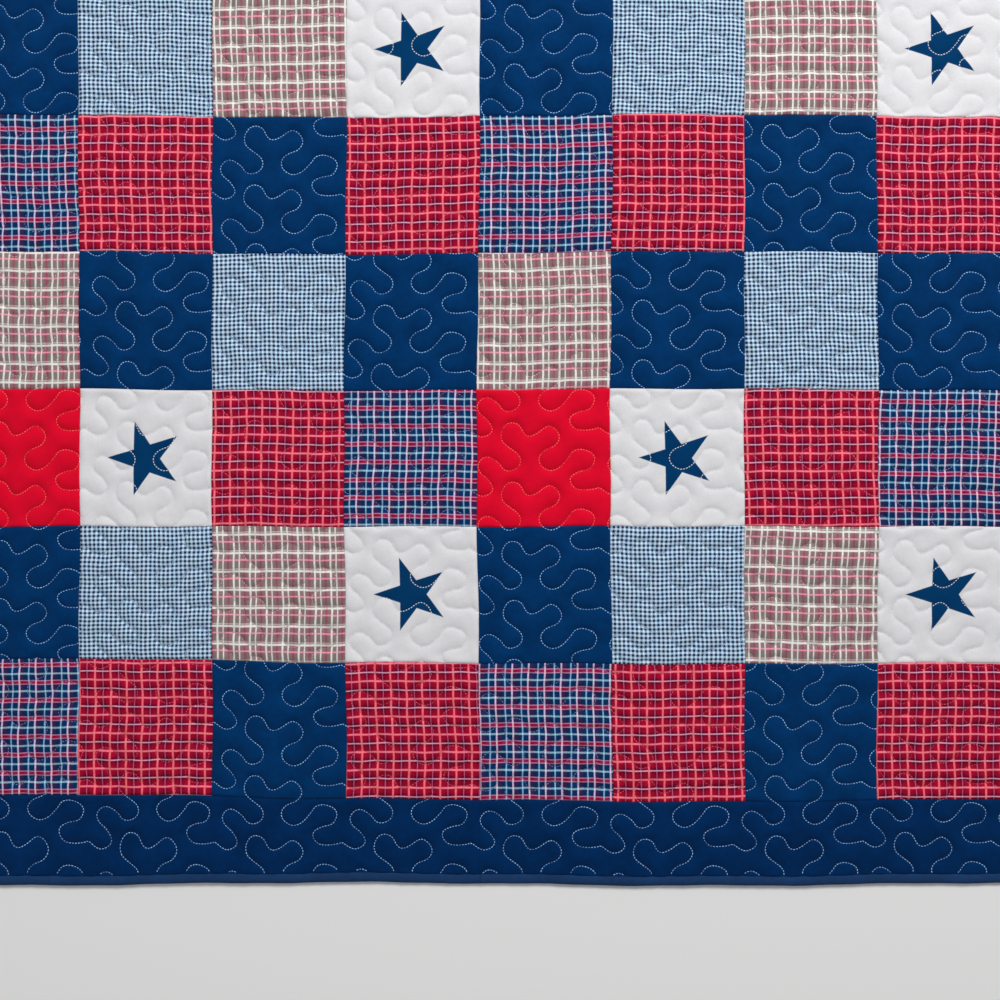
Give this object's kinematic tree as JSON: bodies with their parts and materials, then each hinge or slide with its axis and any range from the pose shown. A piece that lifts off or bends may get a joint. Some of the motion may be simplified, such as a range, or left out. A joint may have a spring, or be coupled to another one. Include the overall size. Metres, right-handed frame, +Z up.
{
  "type": "star quilt blanket",
  "caption": "Flat patchwork quilt with plaid, gingham, plain and star-printed square patches, a plain navy border, rounded binding and raised meander quilting",
  "frame": {"origin": "centre of the quilt's underside, on the surface that it lies on", "axes": "+Z up out of the quilted face, +Y along its length towards the top of the picture, +X across it to the right"},
  "size_m": [1.653, 1.876, 0.0074],
  "materials": {
    "patched_cotton": "matte woven and printed cotton patches",
    "navy_cotton": "matte plain-woven navy cotton",
    "navy_binding": "matte folded navy cotton strip"
  },
  "bodies": {
    "root": {"patchwork": "patched_cotton", "border_left": "navy_cotton", "border_right": "navy_cotton", "border_top": "navy_cotton", "border_bottom": "navy_cotton", "binding_left": "navy_binding", "binding_right": "navy_binding", "binding_top": "navy_binding", "binding_bottom": "navy_binding"}
  },
  "joints": []
}
